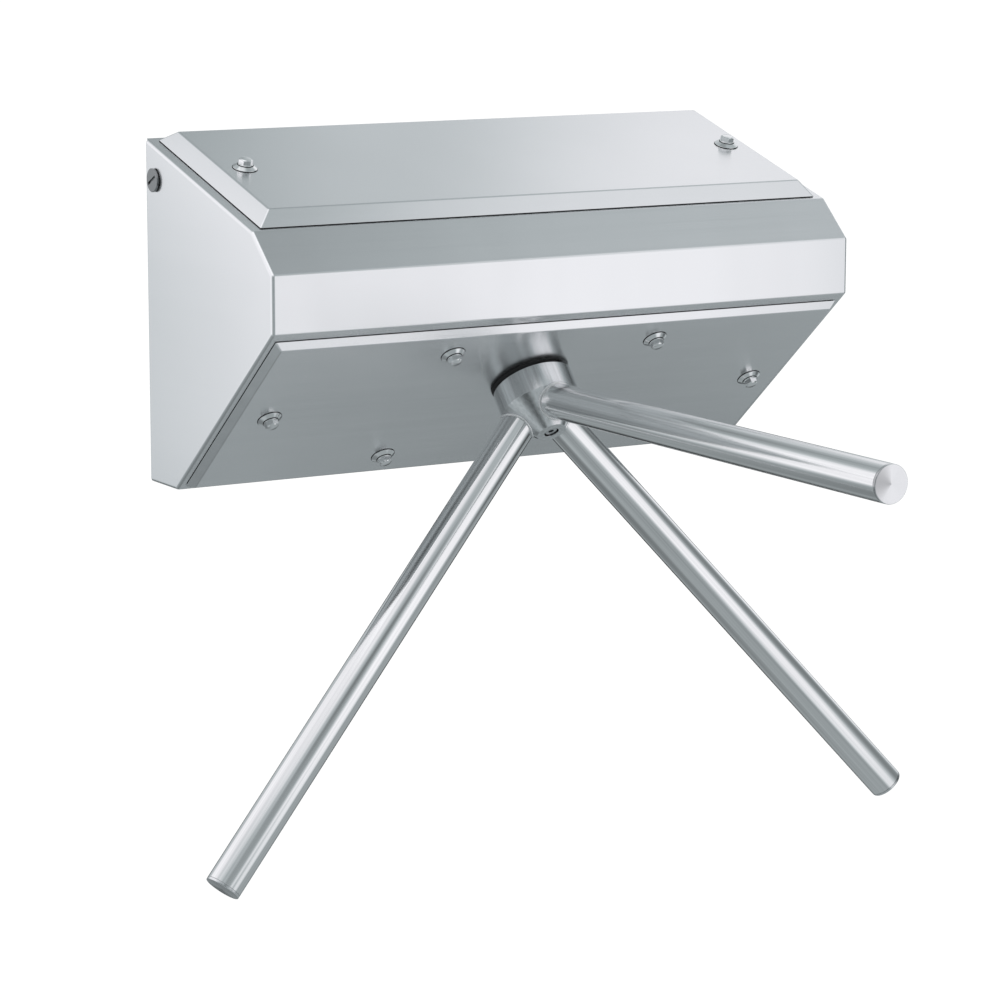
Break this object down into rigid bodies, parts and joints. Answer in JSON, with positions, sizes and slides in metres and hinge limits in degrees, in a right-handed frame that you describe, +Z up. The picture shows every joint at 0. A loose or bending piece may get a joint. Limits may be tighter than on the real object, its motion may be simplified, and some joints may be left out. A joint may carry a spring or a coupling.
{
  "type": "mechanical turnstile",
  "caption": "Wall-mounted tripod turnstile: a wedge-shaped brushed steel housing with an inclined hub on its under face, whose angled tubular arms bar and release a passage.",
  "frame": {"origin": "centre of the wall bolt pattern, on the wall face of the back plate", "axes": "+X to the right of someone who faces the wall, +Y into the wall, +Z up; the level arm points along -Y"},
  "size_m": [0.8566, 0.8437, 0.753],
  "materials": {
    "panel_steel": "satin brushed, grain along the body",
    "cover_steel": "satin brushed, grain along the body",
    "hub_steel": "fine turned satin",
    "arm_steel": "satin, brushed round the tube",
    "cap_steel": "turned face",
    "polished_steel": "polished",
    "plated_steel": "zinc plated",
    "spring_steel": "drawn wire",
    "hard_steel": "ground and hardened",
    "bearing_steel": "ground",
    "plate_alloy": "milled",
    "pawl_bronze": "milled bronze",
    "damper_paint": "black, satin",
    "seal_rubber": "matt black"
  },
  "bodies": {
    "housing": {"left_side_panel": "panel_steel", "right_side_panel": "panel_steel", "front_panel": "panel_steel", "back_plate": "panel_steel", "floor_plate": "panel_steel", "top_flanges": "panel_steel", "under_flanges": "panel_steel", "top_cover": "cover_steel", "under_cover": "cover_steel", "top_cover_seal": "seal_rubber", "under_cover_seal": "seal_rubber", "cover_screws": "polished_steel", "cover_screw_collars": "polished_steel", "cover_standoffs": "plated_steel", "blanking_plugs": "plated_steel", "plug_seals": "seal_rubber", "plug_locknuts": "plated_steel", "hub_seal": "seal_rubber", "front_mechanism_plate": "plate_alloy", "rear_mechanism_plate": "plate_alloy", "mounting_pillars": "plated_steel", "mechanism_bolts": "plated_steel", "plate_spacers": "plated_steel", "front_bearing_housing": "plate_alloy", "rear_bearing_housing": "plate_alloy", "mechanism_screws": "plated_steel", "front_bearing_outer": "bearing_steel", "rear_bearing_outer": "bearing_steel", "damper_body": "damper_paint", "mechanism_pins": "plated_steel", "pawl_springs": "spring_steel", "centring_spring": "spring_steel"},
    "rotor": {"main_shaft": "hard_steel", "hub_head": "hub_steel", "front_arm": "arm_steel", "left_arm": "arm_steel", "right_arm": "arm_steel", "front_arm_cap": "cap_steel", "left_arm_cap": "cap_steel", "right_arm_cap": "cap_steel", "arm_root_plugs": "plated_steel", "arm_set_screws": "plated_steel", "hub_screw": "polished_steel", "shaft_keys": "plated_steel", "centring_cam": "hard_steel", "stop_wheel": "hard_steel", "drive_gear": "hard_steel", "front_bearing_inner": "bearing_steel", "rear_bearing_inner": "bearing_steel", "shaft_sleeves": "plated_steel", "shaft_circlip": "plated_steel"},
    "damper_gear": {"damper_pinion": "hard_steel"},
    "entry_pawl_body": {"entry_pawl": "pawl_bronze"},
    "exit_pawl_body": {"exit_pawl": "pawl_bronze"},
    "lever_body": {"centring_lever": "pawl_bronze", "roller_pin": "plated_steel"},
    "roller_body": {"centring_roller": "hard_steel"},
    "front_ball_set": {"front_bearing_balls": "bearing_steel"},
    "rear_ball_set": {"rear_bearing_balls": "bearing_steel"}
  },
  "joints": [
    {"name": "rotor_spin", "type": "hinge", "parent": "housing", "child": "rotor", "pos_m": [0, -0.21869, -0.08826], "axis": [0, -0.6428, -0.766], "continuous": true},
    {"name": "damper_spin", "type": "hinge", "parent": "housing", "child": "damper_gear", "pos_m": [0, -0.09503, -0.0389], "axis": [0, -0.6428, -0.766], "continuous": true},
    {"name": "front_cage_spin", "type": "hinge", "parent": "housing", "child": "front_ball_set", "pos_m": [0, -0.17157, -0.03211], "axis": [0, -0.6428, -0.766], "continuous": true},
    {"name": "rear_cage_spin", "type": "hinge", "parent": "housing", "child": "rear_ball_set", "pos_m": [0, -0.12272, 0.02611], "axis": [0, -0.6428, -0.766], "continuous": true},
    {"name": "entry_pawl_swing", "type": "hinge", "parent": "housing", "child": "entry_pawl_body", "pos_m": [-0.078, -0.19402, 0.0285], "axis": [0, 0.6428, 0.766], "range_deg": [0, 8], "stiffness_Nm_per_rad": 0.3, "springref_deg": -28.65},
    {"name": "exit_pawl_swing", "type": "hinge", "parent": "housing", "child": "exit_pawl_body", "pos_m": [-0.078, -0.10798, -0.0437], "axis": [0, -0.6428, -0.766], "range_deg": [0, 8], "stiffness_Nm_per_rad": 0.3, "springref_deg": -28.65},
    {"name": "centring_lever_swing", "type": "hinge", "parent": "housing", "child": "lever_body", "pos_m": [0.0635, -0.11117, -0.04102], "axis": [0, 0.6428, 0.766], "range_deg": [0, 5], "stiffness_Nm_per_rad": 8, "springref_deg": -17.19, "deforming": ["centring_spring"]},
    {"name": "roller_spin", "type": "hinge", "parent": "lever_body", "child": "roller_body", "pos_m": [0.0635, -0.16, -0.01832], "axis": [0, -0.6428, -0.766], "continuous": true}
  ],
  "couplings": [
    {"joint": "damper_spin", "follows": "rotor_spin", "ratio": -2.5},
    {"joint": "front_cage_spin", "follows": "rotor_spin", "ratio": 0.39674},
    {"joint": "rear_cage_spin", "follows": "rotor_spin", "ratio": 0.39674}
  ]
}
